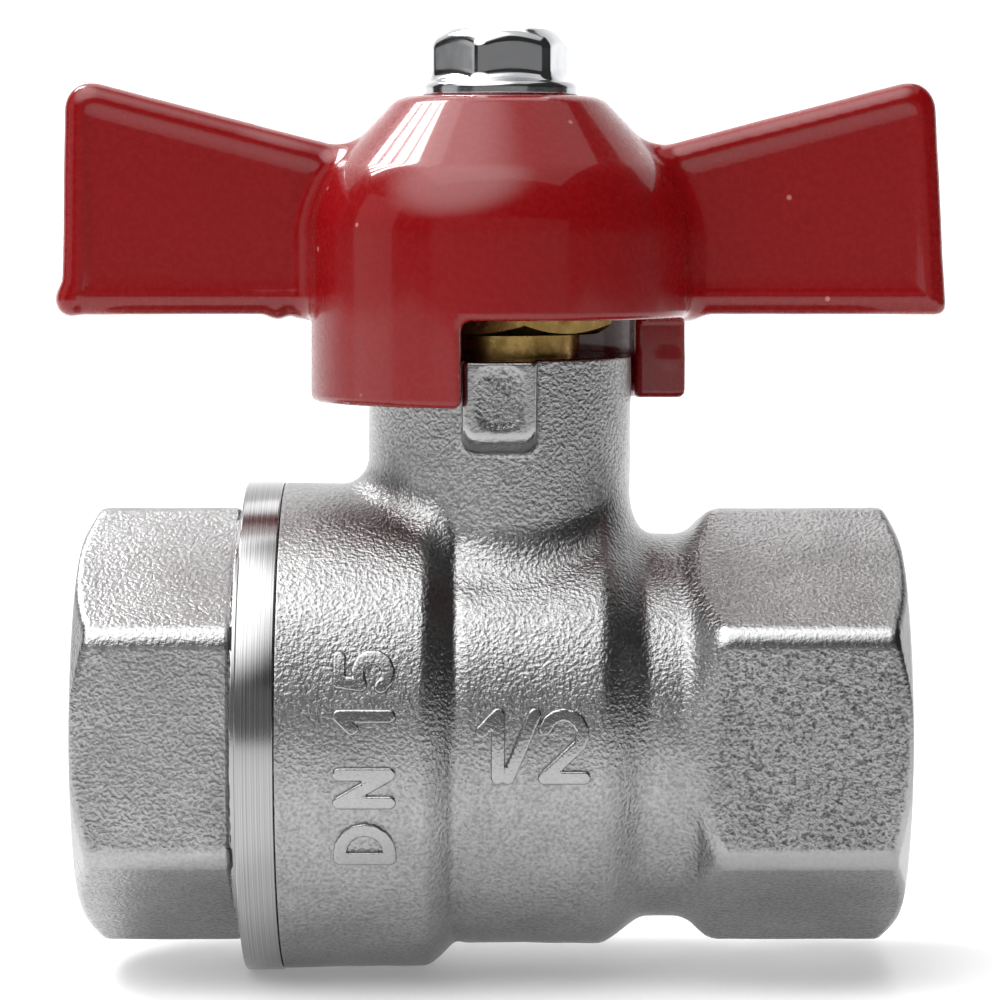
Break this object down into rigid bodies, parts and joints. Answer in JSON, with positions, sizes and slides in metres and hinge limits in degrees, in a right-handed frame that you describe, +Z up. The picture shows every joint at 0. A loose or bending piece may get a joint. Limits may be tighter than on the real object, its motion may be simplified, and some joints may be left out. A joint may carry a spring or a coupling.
{
  "type": "water shutoff valve",
  "caption": "Quarter-turn ball valve with a female pipe thread at each end, a packed stem and a two-winged butterfly handle, drawn open.",
  "frame": {"origin": "centre of the mouth of port A, on the pipe axis", "axes": "+X along the pipe towards port B, +Z up the stem, -Y to the front; the stem axis crosses the pipe axis at x = 26.8 mm"},
  "size_m": [0.0572, 0.0316, 0.0608],
  "materials": {
    "nickel_plate": "nickel-plated forged brass, sandblasted, with polished turned faces",
    "raw_brass": "turned, slightly tarnished",
    "polished_chrome": "mirror-polished hard chrome on brass",
    "white_ptfe": "waxy, semi-matte",
    "black_rubber": "satin",
    "red_coating": "thick glossy coating on die-cast metal",
    "bright_zinc": "bright plated steel"
  },
  "bodies": {
    "body": {"valve_body": "nickel_plate", "end_cap": "nickel_plate", "cap_seal": "black_rubber", "seat_cap_side": "white_ptfe", "seat_body_side": "white_ptfe", "thrust_washer": "white_ptfe", "packing_lower": "white_ptfe", "packing_upper": "white_ptfe", "gland_nut": "raw_brass"},
    "handle": {"handle": "red_coating", "handle_nut": "bright_zinc", "stem": "raw_brass"},
    "ball": {"ball": "polished_chrome"}
  },
  "joints": [
    {"name": "handle_turn", "type": "hinge", "parent": "body", "child": "handle", "pos_m": [0.0268, 0, 0], "axis": [0, 0, 1], "range_deg": [-90, 0]},
    {"name": "ball_turn", "type": "hinge", "parent": "body", "child": "ball", "pos_m": [0.0268, 0, 0], "axis": [0, 0, 1], "range_deg": [-90, 0]}
  ],
  "couplings": [
    {"joint": "ball_turn", "follows": "handle_turn", "ratio": 1}
  ]
}
